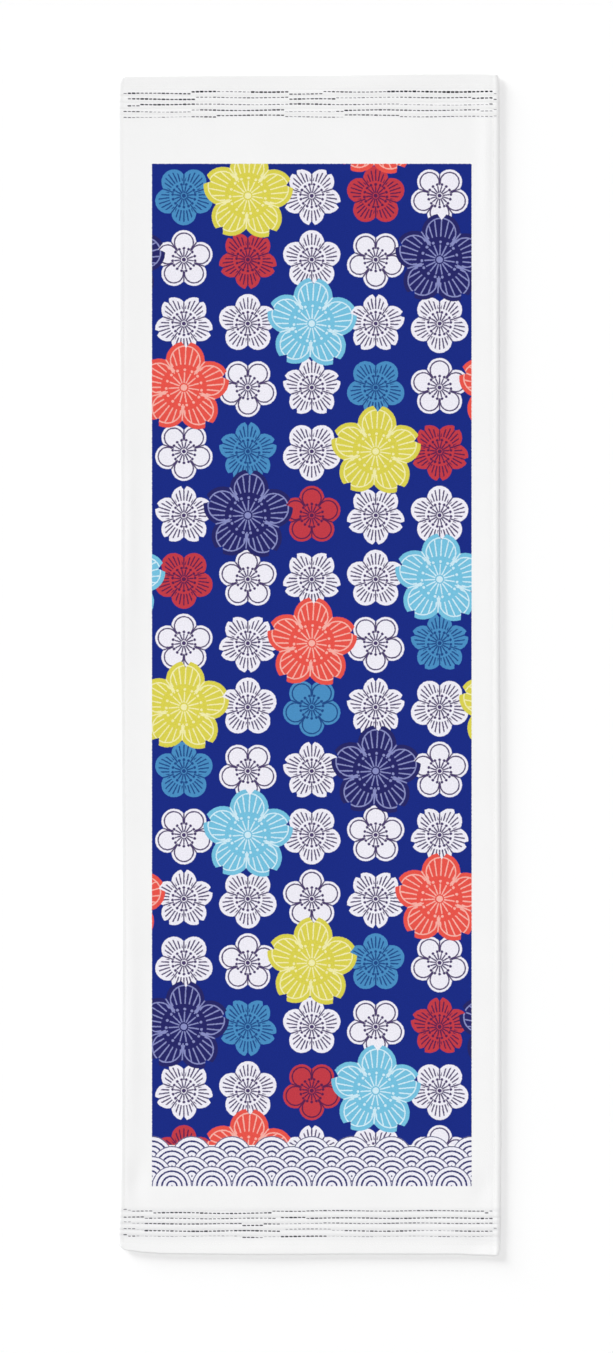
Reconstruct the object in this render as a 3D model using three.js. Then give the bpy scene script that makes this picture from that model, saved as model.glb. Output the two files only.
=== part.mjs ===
import * as THREE from 'three';

// A sports towel laid flat with its printed face up, as one piece of cloth with its hems turned and sewn.
// Millimetres. X runs across the width, Y along the length, Z up from the surface that the towel lies on.

// Cut and hemmed size, and the cloth between the hems
const towelWidth = 355;
const towelLength = 1098;
const clothThickness = 2.3;
const leftCornerRadius = 9;
const rightCornerRadius = 5;

// Woven headings: five thin grooves across each end with soft raised ribs beside them
const grooveCount = 5;
const groovePitch = 5.75;
const grooveDepth = 0.12;
const ribHeight = 0.1;
const stepsPerRib = 4;
const topFirstGroove = 12.6;
const bottomFirstGroove = 15.9;
const headingRunOut = 4;

// Edges lie a little off straight and a little plumper, and settle into even cloth over this width
const unevenReach = 30;

// Steps of the surface: where the underside leaves the fold, and over the plain cloth
const undersideTurn = 1.6;
const acrossStep = 24;
const alongStep = 26;

// Section through a side hem, from the folded edge inwards: a round fold, the sewn valley, the inner ridge
const sideHem = [
  { inset: 0, top: 1.4, under: 1.0 },
  { inset: 0.5, top: 1.95, under: 0.3 },
  { inset: undersideTurn, top: 2.35, under: 0 },
  { inset: 3.2, top: 2.47, under: 0 },
  { inset: 5.6, top: 2.36, under: 0 },
  { inset: 8.6, top: 2.41, under: 0 },
  { inset: 14, top: 2.37, under: 0 },
  { inset: 24, top: clothThickness, under: 0 },
];

// Section through an end hem, which is flatter and ends just before the first groove
const endHem = [
  { inset: 0, top: 1.4, under: 1.0 },
  { inset: 0.5, top: 2.2, under: 0.3 },
  { inset: undersideTurn, top: 2.4, under: 0 },
  { inset: 4.5, top: 2.36, under: 0 },
  { inset: 9.4, top: 2.28, under: 0 },
  { inset: 11.6, top: clothThickness, under: 0 },
];

// How each edge strays outwards from a straight line, and how much plumper the cloth lies along it.
// Places run from the towel's middle, upwards on the sides and to the right on the ends.
const leftEdge = [
  { place: -549, out: 1.2, swell: 0.2 },
  { place: -536, out: 0.6, swell: 0.1 },
  { place: -499, out: -0.9, swell: 0.2 },
  { place: -444, out: -1.5, swell: 0.3 },
  { place: -219, out: -2.2, swell: 0.1 },
  { place: 61, out: -0.7, swell: 0.3 },
  { place: 341, out: 0.2, swell: 0.2 },
  { place: 507, out: 0.9, swell: 0.2 },
  { place: 549, out: 0.2, swell: 0.2 },
];
const rightEdge = [
  { place: -549, out: 1.8, swell: 0.2 },
  { place: -500, out: 2.3, swell: 0.1 },
  { place: -444, out: 2.7, swell: 0.1 },
  { place: -219, out: 2.7, swell: 0.2 },
  { place: 61, out: 1.4, swell: 0.1 },
  { place: 341, out: 1.3, swell: 0.2 },
  { place: 507, out: 1.2, swell: 0.1 },
  { place: 549, out: 0.7, swell: 0.2 },
];
const bottomEdge = [
  { place: -177, out: -4.5, swell: 0.1 },
  { place: -166, out: -2.4, swell: 0.1 },
  { place: -154, out: -0.7, swell: 0.1 },
  { place: -133, out: 0.7, swell: 0.1 },
  { place: -45, out: 1.4, swell: 0.1 },
  { place: 60, out: 1, swell: 0.1 },
  { place: 137, out: 1.1, swell: 0.1 },
  { place: 161, out: 2, swell: 0.1 },
  { place: 177, out: 2.7, swell: 0.2 },
];
const topEdge = [
  { place: -177, out: 1.5, swell: 0.2 },
  { place: -133, out: 2, swell: 0.1 },
  { place: -82, out: 2.4, swell: 0.2 },
  { place: 2, out: 2.8, swell: 0.1 },
  { place: 105, out: 4, swell: 0.2 },
  { place: 161, out: 4.2, swell: 0.1 },
  { place: 177, out: 3.5, swell: 0.2 },
];

// One column of a table at any place, eased from row to row
function tableValue(table, placeKey, valueKey, place) {
  const first = table[0];
  const last = table[table.length - 1];
  if (place <= first[placeKey]) {
    return first[valueKey];
  }
  if (place >= last[placeKey]) {
    return last[valueKey];
  }
  const next = table.findIndex((row) => row[placeKey] > place);
  const low = table[next - 1];
  const high = table[next];
  const share = (place - low[placeKey]) / (high[placeKey] - low[placeKey]);
  return THREE.MathUtils.lerp(low[valueKey], high[valueKey], THREE.MathUtils.smoothstep(share, 0, 1));
}

// Distances from one edge to the other: close together in both edges' own steps, even in between
function stationsBetween(length, lowInsets, highInsets, targetStep) {
  const lowEnd = lowInsets[lowInsets.length - 1];
  const highEnd = length - highInsets[highInsets.length - 1];
  const stepCount = Math.round((highEnd - lowEnd) / targetStep);
  const evenSteps = Array.from({ length: stepCount - 1 }, (_, k) =>
    THREE.MathUtils.lerp(lowEnd, highEnd, (k + 1) / stepCount));
  const highSteps = highInsets.map((inset) => length - inset).reverse();
  return [...lowInsets, ...evenSteps, ...highSteps];
}

// The steps of one end, from its edge to the flat cloth past its heading
function endInsets(firstGroove) {
  const ribSteps = Array.from({ length: (grooveCount - 1) * stepsPerRib + 1 }, (_, k) =>
    firstGroove + (k * groovePitch) / stepsPerRib);
  const runOut = ribSteps[ribSteps.length - 1] + headingRunOut;
  return [...endHem.map((row) => row.inset), ...ribSteps, runOut];
}

// Height of the heading's ribs and grooves above the plain cloth
function headingRelief(inset, firstGroove) {
  const turns = (inset - firstGroove) / groovePitch;
  const halfRib = 0.5;
  if (turns < -halfRib || turns > grooveCount - 1 + halfRib) {
    return 0;
  }
  const crest = Math.sin(Math.PI * THREE.MathUtils.euclideanModulo(turns, 1)) ** 2;
  const betweenGrooves = turns > 0 && turns < grooveCount - 1;
  return betweenGrooves ? THREE.MathUtils.lerp(-grooveDepth, ribHeight, crest) : -grooveDepth * (1 - crest);
}

// A hem's height above the plain cloth, parted into what rises and what falls away at the fold
function hemRelief(table, inset) {
  const relief = tableValue(table, 'inset', 'top', inset) - clothThickness;
  return { rise: Math.max(relief, 0), fall: Math.min(relief, 0) };
}

// How strongly an edge's unevenness reaches a point at this inset
function edgeShare(inset) {
  return (1 - THREE.MathUtils.clamp(inset / unevenReach, 0, 1)) ** 2;
}

const sideInsets = [...sideHem.map((row) => row.inset), unevenReach];
const acrossStations = stationsBetween(towelWidth, sideInsets, sideInsets, acrossStep);
const alongStations = stationsBetween(
  towelLength, endInsets(bottomFirstGroove), endInsets(topFirstGroove), alongStep);

// Insets from the four edges, and the nominal place, of a point of the grid
function placeOf(column, row) {
  const left = acrossStations[column];
  const bottom = alongStations[row];
  return {
    left,
    right: towelWidth - left,
    bottom,
    top: towelLength - bottom,
    across: left - towelWidth / 2,
    along: bottom - towelLength / 2,
  };
}

// Plan position: corners rounded by easing the square corner onto an arc, then the edges strayed
function planPoint(place) {
  const side = Math.min(place.left, place.right);
  const end = Math.min(place.bottom, place.top);
  let x = place.across;
  let y = place.along;
  const cornerRadius = x < 0 ? leftCornerRadius : rightCornerRadius;
  if (side < cornerRadius && end < cornerRadius) {
    const fromSide = cornerRadius - side;
    const fromEnd = cornerRadius - end;
    const squeeze = Math.max(fromSide, fromEnd) / Math.hypot(fromSide, fromEnd);
    x = Math.sign(x) * (towelWidth / 2 - cornerRadius + fromSide * squeeze);
    y = Math.sign(y) * (towelLength / 2 - cornerRadius + fromEnd * squeeze);
  }
  x += tableValue(rightEdge, 'place', 'out', place.along) * edgeShare(place.right);
  x -= tableValue(leftEdge, 'place', 'out', place.along) * edgeShare(place.left);
  y += tableValue(topEdge, 'place', 'out', place.across) * edgeShare(place.top);
  y -= tableValue(bottomEdge, 'place', 'out', place.across) * edgeShare(place.bottom);
  return { x, y };
}

// How much plumper than plain cloth it lies here
function swellAt(place) {
  return Math.max(
    tableValue(leftEdge, 'place', 'swell', place.along) * edgeShare(place.left),
    tableValue(rightEdge, 'place', 'swell', place.along) * edgeShare(place.right),
    tableValue(bottomEdge, 'place', 'swell', place.across) * edgeShare(place.bottom),
    tableValue(topEdge, 'place', 'swell', place.across) * edgeShare(place.top));
}

function topHeight(place) {
  const side = hemRelief(sideHem, Math.min(place.left, place.right));
  const end = hemRelief(endHem, Math.min(place.bottom, place.top));
  const heading = headingRelief(place.bottom, bottomFirstGroove) + headingRelief(place.top, topFirstGroove);
  return clothThickness + side.rise + end.rise + heading + Math.min(side.fall, end.fall) + swellAt(place);
}

function undersideHeight(place) {
  const side = tableValue(sideHem, 'inset', 'under', Math.min(place.left, place.right));
  const end = tableValue(endHem, 'inset', 'under', Math.min(place.bottom, place.top));
  return Math.max(side, end);
}

// Collects shared corners and triangles of one closed skin
class ClothSkin {
  constructor() {
    this.corners = [];
    this.triangles = [];
    this.known = new Map();
  }

  corner(column, row, layer) {
    const name = `${layer}:${column}:${row}`;
    if (!this.known.has(name)) {
      const place = placeOf(column, row);
      const { x, y } = planPoint(place);
      this.known.set(name, this.corners.length / 3);
      this.corners.push(x, y, layer === 'top' ? topHeight(place) : undersideHeight(place));
    }
    return this.known.get(name);
  }

  triangle(a, b, c) {
    if (a !== b && b !== c && c !== a) {
      this.triangles.push(a, b, c);
    }
  }

  quad(a, b, c, d) {
    this.triangle(a, b, c);
    this.triangle(a, c, d);
  }

  geometry() {
    const skin = new THREE.BufferGeometry();
    skin.setAttribute('position', new THREE.Float32BufferAttribute(this.corners, 3));
    skin.setIndex(this.triangles);
    return skin;
  }
}

// A ring of grid lines around the towel, at given insets from its sides and ends
function ringAt(sideInset, endInset) {
  const nearest = (stations, distance) => stations.reduce((best, station, index) =>
    (Math.abs(station - distance) < Math.abs(stations[best] - distance) ? index : best), 0);
  return {
    left: nearest(acrossStations, sideInset),
    right: nearest(acrossStations, towelWidth - sideInset),
    bottom: nearest(alongStations, endInset),
    top: nearest(alongStations, towelLength - endInset),
  };
}

// The ring's grid points, anticlockwise seen from above
function ringPoints(ring) {
  const points = [];
  for (let column = ring.left; column < ring.right; column += 1) {
    points.push([column, ring.bottom]);
  }
  for (let row = ring.bottom; row < ring.top; row += 1) {
    points.push([ring.right, row]);
  }
  for (let column = ring.right; column > ring.left; column -= 1) {
    points.push([column, ring.top]);
  }
  for (let row = ring.top; row > ring.bottom; row -= 1) {
    points.push([ring.left, row]);
  }
  return points;
}

function addPrintedFace(skin) {
  for (let column = 0; column < acrossStations.length - 1; column += 1) {
    for (let row = 0; row < alongStations.length - 1; row += 1) {
      skin.quad(
        skin.corner(column, row, 'top'),
        skin.corner(column + 1, row, 'top'),
        skin.corner(column + 1, row + 1, 'top'),
        skin.corner(column, row + 1, 'top'));
    }
  }
}

function addRim(skin, ring) {
  const points = ringPoints(ring);
  points.forEach(([column, row], index) => {
    const [nextColumn, nextRow] = points[(index + 1) % points.length];
    skin.quad(
      skin.corner(column, row, 'under'),
      skin.corner(nextColumn, nextRow, 'under'),
      skin.corner(nextColumn, nextRow, 'top'),
      skin.corner(column, row, 'top'));
  });
}

// The underside needs few facets, so it steps from one ring to the next one in
function addUndersideBand(skin, outer, inner) {
  const innerCorner = ([column, row]) => skin.corner(
    THREE.MathUtils.clamp(column, inner.left, inner.right),
    THREE.MathUtils.clamp(row, inner.bottom, inner.top),
    'under');
  const points = ringPoints(outer);
  points.forEach((point, index) => {
    const next = points[(index + 1) % points.length];
    skin.quad(
      skin.corner(...point, 'under'),
      innerCorner(point),
      innerCorner(next),
      skin.corner(...next, 'under'));
  });
}

// Inside the last ring the cloth lies flat on the surface
function addFlatUnderside(skin, ring) {
  const under = (column, row) => skin.corner(column, row, 'under');
  const lowRow = ring.bottom + 1;
  const highRow = ring.top - 1;
  for (let column = ring.left; column < ring.right; column += 1) {
    skin.triangle(under(column, ring.bottom), under(ring.left, lowRow), under(column + 1, ring.bottom));
    skin.triangle(under(column, ring.top), under(column + 1, ring.top), under(ring.left, highRow));
  }
  skin.triangle(under(ring.right, ring.bottom), under(ring.left, lowRow), under(ring.right, lowRow));
  skin.triangle(under(ring.right, ring.top), under(ring.right, highRow), under(ring.left, highRow));
  for (let row = lowRow; row < highRow; row += 1) {
    skin.quad(
      under(ring.left, row),
      under(ring.left, row + 1),
      under(ring.right, row + 1),
      under(ring.right, row));
  }
}

// The origin is the middle of the towel's box, on the surface
function centreOnSurface(geometry) {
  geometry.computeBoundingBox();
  const middle = geometry.boundingBox.getCenter(new THREE.Vector3());
  geometry.translate(-middle.x, -middle.y, -geometry.boundingBox.min.z);
}

function makeTowelCloth() {
  const skin = new ClothSkin();
  const headingWidth = (grooveCount - 1) * groovePitch + headingRunOut;
  const headingEnd = Math.max(topFirstGroove, bottomFirstGroove) + headingWidth;
  const edgeRing = ringAt(0, 0);
  const foldRing = ringAt(undersideTurn, undersideTurn);
  const hemRing = ringAt(sideHem[sideHem.length - 1].inset, endHem[endHem.length - 1].inset);
  const flatRing = ringAt(unevenReach, headingEnd);
  addPrintedFace(skin);
  addRim(skin, edgeRing);
  addUndersideBand(skin, edgeRing, foldRing);
  addUndersideBand(skin, foldRing, hemRing);
  addUndersideBand(skin, hemRing, flatRing);
  addFlatUnderside(skin, flatRing);

  const geometry = skin.geometry();
  centreOnSurface(geometry);
  geometry.computeVertexNormals();
  const whiteCotton = new THREE.MeshStandardMaterial({ color: 0xf4f5f3, roughness: 0.95, metalness: 0 });
  const cloth = new THREE.Mesh(geometry, whiteCotton);
  cloth.name = 'towel_cloth';
  return cloth;
}

const sportsTowel = new THREE.Group();
sportsTowel.add(makeTowelCloth());

export default sportsTowel;
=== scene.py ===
import math

import bpy
import numpy as np
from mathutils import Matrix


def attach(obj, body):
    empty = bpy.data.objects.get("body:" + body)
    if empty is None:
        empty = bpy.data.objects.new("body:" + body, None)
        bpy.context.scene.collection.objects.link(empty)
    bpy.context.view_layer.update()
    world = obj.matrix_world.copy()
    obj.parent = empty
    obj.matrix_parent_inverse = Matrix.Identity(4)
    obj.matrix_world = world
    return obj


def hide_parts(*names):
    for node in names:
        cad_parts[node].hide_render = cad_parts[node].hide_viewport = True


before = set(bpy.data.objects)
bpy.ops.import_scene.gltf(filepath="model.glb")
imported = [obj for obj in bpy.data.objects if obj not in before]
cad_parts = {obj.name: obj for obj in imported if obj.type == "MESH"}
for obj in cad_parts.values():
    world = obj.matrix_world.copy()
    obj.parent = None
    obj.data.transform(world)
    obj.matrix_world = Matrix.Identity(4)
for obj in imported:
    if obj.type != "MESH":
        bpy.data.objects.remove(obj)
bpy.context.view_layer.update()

# A printed cotton sports towel, laid flat and seen from straight above.
# Sizes are in millimetres, unless a name or a note says otherwise, and mm turns them into Blender's metres.
# A place on the cloth is given from its middle: across to the right, along towards the panel's clean end.
mm = 0.001
clothNode = "towel_cloth"
mainBody = "root"

scene = bpy.context.scene


def linear(hexText):
    # a colour as a painter picks it, turned to the light it sends back
    channels = [int(hexText[i:i + 2], 16) / 255 for i in (1, 3, 5)]
    return [c / 12.92 if c <= 0.04045 else ((c + 0.055) / 1.055) ** 2.4 for c in channels] + [1.0]


def addNode(tree, kind, links=(), **settings):
    # links feed the inputs, a list by position, a dictionary by name; each is a socket, a node or a value
    node = tree.nodes.new(kind)
    for name, value in settings.items():
        setattr(node, name, value)
    for key, source in links.items() if isinstance(links, dict) else enumerate(links):
        if isinstance(source, bpy.types.Node):
            source = next(s for s in source.outputs if s.enabled)
        if isinstance(source, bpy.types.NodeSocket):
            tree.links.new(source, node.inputs[key])
        else:
            node.inputs[key].default_value = source
    return node


def newMaterial(name, finish):
    # the finish holds the shader's own values, which are the same all over the surface
    material = bpy.data.materials.new(name)
    material.use_nodes = True
    shader = material.node_tree.nodes["Principled BSDF"]
    for socket, value in finish.items():
        shader.inputs[socket].default_value = value
    return material, shader


# The towel's own shape, as its solid has it

towel = {
    "width": 355,
    "length": 1098,
    "thickness": 2.3,
    "leftCorner": 9,        # radii of the corners
    "rightCorner": 5,
    "unevenReach": 30,      # how far in an edge's straying is felt
    "foldRadius": 1.6,      # the round edge of every hem
    "foldMiddle": 1.2,
    "bodyStep": 4.6,        # grid of the plain cloth
    "edgeStep": 0.75,       # grid over the hems and headings
    "foldSteps": 6,
    "fineReach": 13,        # where a side hem's fine grid ends, and wider steps lead on
    "unevenSteps": 6,
}
sideHem = {
    "shoulder": 3.2,        # width of the round edge, then places and heights of the soft folds beside it
    "rimTop": 2.47,
    "valley": 5.6,
    "valleyTop": 2.36,
    "ridge": 8.6,
    "ridgeTop": 2.41,
    "end": 24,
}
endHem = {
    "shoulder": 1.2,
    "rimTop": 2.4,
    "ridge": 4.5,
    "ridgeTop": 2.36,
    "valley": 9.4,
    "valleyTop": 2.28,
    "end": 11.6,
}
heading = {
    "grooves": 5,
    "pitch": 5.75,
    "grooveDepth": 0.12,
    "grooveHalf": 0.7,
    "ribHeight": 0.1,
    "stepsPerRib": 8,
    "topFirst": 12.6,
    "bottomFirst": 15.9,
    "floatPitch": 3.97,     # from one float of grey yarn to the next along a row
}
underside = {
    "seam": 5.2,            # how far in the side hem's seam and the hems' turned edges lie
    "sideTurned": 9.6,
    "endTurned": 10.8,
    "troughDepth": 0.38,
    "troughHalf": 0.6,
    "planShift": 1.0,       # metres to the right, its place on the plan that colours follow
}

# Each edge from left to right or along the towel: the place, how far the edge strays outwards there, and how
# much plumper the cloth lies beside it
edges = {
    "left": [
        (-549, 1.2, 0.2), (-536, 0.6, 0.1), (-499, -0.9, 0.2), (-444, -1.5, 0.3), (-219, -2.2, 0.1),
        (61, -0.7, 0.3), (341, 0.2, 0.2), (507, 0.9, 0.2), (549, 0.2, 0.2),
    ],
    "right": [
        (-549, 1.8, 0.2), (-500, 2.3, 0.1), (-444, 2.7, 0.1), (-219, 2.7, 0.2), (61, 1.4, 0.1),
        (341, 1.3, 0.2), (507, 1.2, 0.1), (549, 0.7, 0.2),
    ],
    "bottom": [
        (-177, -4.5, 0.1), (-166, -2.4, 0.1), (-154, -0.7, 0.1), (-133, 0.7, 0.1), (-45, 1.4, 0.1),
        (60, 1, 0.1), (137, 1.1, 0.1), (161, 2, 0.1), (177, 2.7, 0.2),
    ],
    "top": [
        (-177, 1.5, 0.2), (-133, 2, 0.1), (-82, 2.4, 0.2), (2, 2.8, 0.1), (105, 4, 0.2),
        (161, 4.2, 0.1), (177, 3.5, 0.2),
    ],
}
edgeColumns = {"out": 1, "swell": 2}     # where a row has them

# Soft hollows and swells that the cloth keeps although it was smoothed out by hand
softPlaces = [
    {"across": -160, "along": -480, "wide": 7, "long": 16, "rise": -0.5},
    {"across": 163, "along": -489, "wide": 9, "long": 13, "rise": -0.5},
    {"across": 160, "along": -541, "wide": 16, "long": 8, "rise": -0.45},
    {"across": 166, "along": 470, "wide": 6, "long": 60, "rise": 0.35},
    {"across": -164, "along": -330, "wide": 7, "long": 90, "rise": 0.3},
    {"across": -40, "along": -545, "wide": 40, "long": 9, "rise": 0.3},
    {"across": 60, "along": 540, "wide": 60, "long": 9, "rise": 0.3},
    {"across": -166, "along": 120, "wide": 6, "long": 70, "rise": 0.25},
    {"across": 100, "along": 300, "wide": 90, "long": 60, "rise": 0.3},
    {"across": -80, "along": -120, "wide": 70, "long": 110, "rise": 0.3},
    {"across": 40, "along": -400, "wide": 90, "long": 50, "rise": -0.2},
]


def smooth(share):
    share = np.clip(share, 0, 1)
    return share * share * (3 - 2 * share)


def tableValue(table, key, place):
    # eased from row to row, and level past the ends
    table = np.array(table, float)
    places, values = table[:, 0], table[:, edgeColumns[key]]
    low = np.clip(np.searchsorted(places, place, side="right") - 1, 0, len(places) - 2)
    share = smooth((place - places[low]) / (places[low + 1] - places[low]))
    return values[low] + (values[low + 1] - values[low]) * share


def edgeShare(inset):
    return (1 - np.clip(inset / towel["unevenReach"], 0, 1)) ** 2


def roundedOff(inset, width, height):
    # how far a surface draws back over the last stretch to the folded edge
    out = np.clip(1 - inset / width, 0, 1)
    return height * (1 - np.sqrt(1 - out * out))


def hemTop(inset, hem, order):
    # eased heights, from the rim over the hem's swells to the plain cloth
    place, last = hem["shoulder"], hem["rimTop"]
    top = last
    for name in order:
        height = towel["thickness"] if name == "end" else hem[name + "Top"]
        top = top + (height - last) * smooth((inset - place) / (hem[name] - place))
        place, last = hem[name], height
    return top


def headingRelief(inset, first):
    turns = (inset - first) / heading["pitch"]
    last = heading["grooves"] - 1
    nearest = np.clip(np.round(turns), 0, last)
    fromNearest = (turns - nearest) * heading["pitch"]
    groove = -heading["grooveDepth"] * np.exp(-((fromNearest / heading["grooveHalf"]) ** 2))
    rib = heading["ribHeight"] * np.sin(np.pi * turns) ** 2 * ((turns > 0) & (turns < last))
    return groove + rib


def planPoint(across, along):
    # where a thread of the cloth lies in the plan: corners rounded, then edges strayed
    halfWidth, halfLength = towel["width"] / 2, towel["length"] / 2
    radius = np.where(across < 0, towel["leftCorner"], towel["rightCorner"])
    fromSide = radius - (halfWidth - np.abs(across))
    fromEnd = radius - (halfLength - np.abs(along))
    corner = (fromSide > 0) & (fromEnd > 0)
    diagonal = np.where(corner, np.hypot(fromSide, fromEnd), 1)
    squeeze = np.where(corner, np.maximum(fromSide, fromEnd), 1) / diagonal
    x = np.where(corner, np.sign(across) * (halfWidth - radius + fromSide * squeeze), across)
    y = np.where(corner, np.sign(along) * (halfLength - radius + fromEnd * squeeze), along)
    x = x + tableValue(edges["right"], "out", along) * edgeShare(halfWidth - across)
    x = x - tableValue(edges["left"], "out", along) * edgeShare(halfWidth + across)
    y = y + tableValue(edges["top"], "out", across) * edgeShare(halfLength - along)
    y = y - tableValue(edges["bottom"], "out", across) * edgeShare(halfLength + along)
    return x, y


def swellAt(across, along):
    halfWidth, halfLength = towel["width"] / 2, towel["length"] / 2
    return np.maximum.reduce([
        tableValue(edges["right"], "swell", along) * edgeShare(halfWidth - across),
        tableValue(edges["left"], "swell", along) * edgeShare(halfWidth + across),
        tableValue(edges["top"], "swell", across) * edgeShare(halfLength - along),
        tableValue(edges["bottom"], "swell", across) * edgeShare(halfLength + along),
    ])


def topHeight(across, along):
    side = towel["width"] / 2 - np.abs(across)
    fromBottom, fromTop = towel["length"] / 2 + along, towel["length"] / 2 - along
    end = np.minimum(fromBottom, fromTop)
    sideHeight = hemTop(side, sideHem, ("valley", "ridge", "end")) - towel["thickness"]
    endHeight = hemTop(end, endHem, ("ridge", "valley", "end")) - towel["thickness"]
    rise = np.maximum(sideHeight, 0) + np.maximum(endHeight, 0)
    dip = np.minimum(sideHeight, 0) + np.minimum(endHeight, 0)
    ribs = headingRelief(fromBottom, heading["bottomFirst"]) + headingRelief(fromTop, heading["topFirst"])
    soft = sum(
        place["rise"] * np.exp(-(((across - place["across"]) / place["wide"]) ** 2)
                               - (((along - place["along"]) / place["long"]) ** 2))
        for place in softPlaces)
    fall = np.maximum(roundedOff(side, sideHem["shoulder"], sideHem["rimTop"] - towel["foldMiddle"]),
                      roundedOff(end, endHem["shoulder"], endHem["rimTop"] - towel["foldMiddle"]))
    return towel["thickness"] + rise + dip + ribs + soft - fall + swellAt(across, along)


def underHeight(across, along):
    side = towel["width"] / 2 - np.abs(across)
    end = towel["length"] / 2 - np.abs(along)
    # seams pull the cloth up from below, and the hem's turned edge leaves a step
    troughs = []
    for inset, place, otherInset, otherClear in (
            (side, underside["seam"], end, underside["seam"]),
            (end, endHem["valley"], side, underside["seam"]),
            (side, underside["sideTurned"], end, underside["sideTurned"]),
            (end, underside["endTurned"], side, underside["sideTurned"])):
        trough = np.exp(-(((inset - place) / underside["troughHalf"]) ** 2))
        troughs.append(trough * (otherInset > otherClear))
    hollow = underside["troughDepth"] * np.maximum.reduce(troughs)
    sideRound = roundedOff(side, towel["foldRadius"], towel["foldMiddle"])
    endRound = roundedOff(end, towel["foldRadius"], towel["foldMiddle"])
    return np.maximum(sideRound, endRound) + hollow


def edgeInsets(ribsFrom=None):
    # steps from the folded edge inwards, close together round the fold, and over the ribs where there are any
    step = towel["edgeStep"]
    turns = np.linspace(0, math.pi / 2, towel["foldSteps"] + 1)
    insets = list(towel["foldRadius"] * (1 - np.cos(turns)))
    if ribsFrom is None:
        insets += list(np.arange(insets[-1] + step, towel["fineReach"], step))
        return insets + list(np.linspace(towel["fineReach"], towel["unevenReach"], towel["unevenSteps"]))
    ribStep = heading["pitch"] / heading["stepsPerRib"]
    around = heading["stepsPerRib"] // 2
    ribSteps = np.arange(-around, (heading["grooves"] - 1) * heading["stepsPerRib"] + around + 1)
    insets += list(np.arange(insets[-1] + step, ribsFrom - around * ribStep - step / 2, step))
    return insets + list(ribsFrom + ribSteps * ribStep)


def stationsBetween(length, lowInsets, highInsets):
    steps = round((length - lowInsets[-1] - highInsets[-1]) / towel["bodyStep"])
    inside = np.linspace(lowInsets[-1], length - highInsets[-1], steps + 1)[1:-1]
    return np.concatenate([lowInsets, inside, length - np.array(highInsets[::-1])]) - length / 2


def clothMesh():
    # one closed skin: the printed face, the underside and the thin wall that joins them at the fold
    sideSteps = edgeInsets()
    bottomSteps, topSteps = edgeInsets(heading["bottomFirst"]), edgeInsets(heading["topFirst"])
    across = stationsBetween(towel["width"], sideSteps, sideSteps)
    along = stationsBetween(towel["length"], bottomSteps, topSteps)
    columns, rows = len(across), len(along)
    acrossGrid, alongGrid = np.meshgrid(across, along)
    x, y = planPoint(acrossGrid, alongGrid)
    layers = [np.stack([x, y, z], -1).reshape(-1, 3) for z in (
        topHeight(acrossGrid, alongGrid), underHeight(acrossGrid, alongGrid))]
    points = np.concatenate(layers)
    middle = (points.min(0) + points.max(0)) / 2

    index = np.arange(columns * rows).reshape(rows, columns)
    face = np.stack([index[:-1, :-1], index[:-1, 1:], index[1:, 1:], index[1:, :-1]], -1).reshape(-1, 4)
    under = face[:, ::-1] + columns * rows
    ring = np.concatenate([index[0, :-1], index[:-1, -1], index[-1, :0:-1], index[:0:-1, 0]])
    following = np.roll(ring, -1)
    wall = np.stack([ring + columns * rows, following + columns * rows, following, ring], -1)
    quads = np.concatenate([face, under, wall])

    mesh = bpy.data.meshes.new("towelCloth")
    mesh.vertices.add(len(points))
    mesh.loops.add(quads.size)
    mesh.polygons.add(len(quads))
    shift = np.array([middle[0], middle[1], points[:, 2].min()])
    mesh.vertices.foreach_set("co", ((points - shift) * mm).ravel())
    mesh.loops.foreach_set("vertex_index", quads.ravel())
    mesh.polygons.foreach_set("loop_start", np.arange(0, quads.size, 4))
    mesh.update()
    mesh.shade_smooth()

    # the cloth's own plan, in metres, which print and pile follow; the underside's copy lies beside it
    plan = np.tile(np.stack([acrossGrid, alongGrid], -1).reshape(-1, 2) * mm, (2, 1))
    corners = plan[quads.ravel()]
    corners[face.size:face.size + under.size, 0] += underside["planShift"]
    mesh.uv_layers.new(name="clothPlan").data.foreach_set("uv", corners.ravel())
    return mesh, shift


print("towel: cloth")
mesh, planShift = clothMesh()
cloth = bpy.data.objects.new("towelCloth", mesh)
scene.collection.objects.link(cloth)


# The cloth's own colours and pile. A scale counts patches to the millimetre. A patch under 1 mm doesn't show,
# so tufts and sheared pile, 0.8 mm from one to the next in such cloth, are drawn a little coarser.

cottonCloth = {
    "white": "#f5f5f5",
    "printThrough": 0.07,   # share of the ink that shows underneath
    "tufts": 0.9,           # 1.1 mm across, and how much paler or deeper the ink is on one
    "tuftShade": 0.07,
    "clouds": 0.012,        # 80 mm across, and how much greyer the white is in one
    "cloudShade": 0.015,
    "sheared": 0.8,         # 1.25 mm across
    "loops": 0.55,          # 1.8 mm across, as real terry loops are
    "loopSoftness": 0.4,
    "pileHeight": 0.35,
    "pileStrength": 0.35,
    "finish": {"Roughness": 0.92, "Specular IOR Level": 0.06, "Sheen Weight": 0.03, "Sheen Roughness": 0.5},
}
noiseSpan = {"From Min": 0.3, "From Max": 0.7}      # where nearly all values of a noise lie
# the headings' grey: partly yarn showing through, partly painted shade in the grooves and over the lower
# heading
headingGreyAndShade = {
    "colour": "#58547a",
    "reach": 3.5,           # beyond the outer rows, and how softly it ends
    "fade": 1.5,
    "rowHalf": 1.0,
    "rowFade": 0.8,
    "floats": 0.45,         # grey of the dashes underneath, their share of the pitch, and their soft ends
    "dashLength": 0.75,
    "dashFade": 0.3,
    "ends": [
        # the outer row's place from the towel's middle and the way in which rows are counted from it, then
        # the shares of grey between the rows and, on top of that, along them in the grooves, partly painted
        # shade
        {"firstRow": 535, "direction": -1, "ground": 0.0, "row": 0.045},
        {"firstRow": 532.9, "direction": 1, "ground": 0.045, "row": 0.03},
    ],
}

# The print: five-petalled blossoms in a strict square grid on deep blue, over a foot of rolling waves

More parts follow.
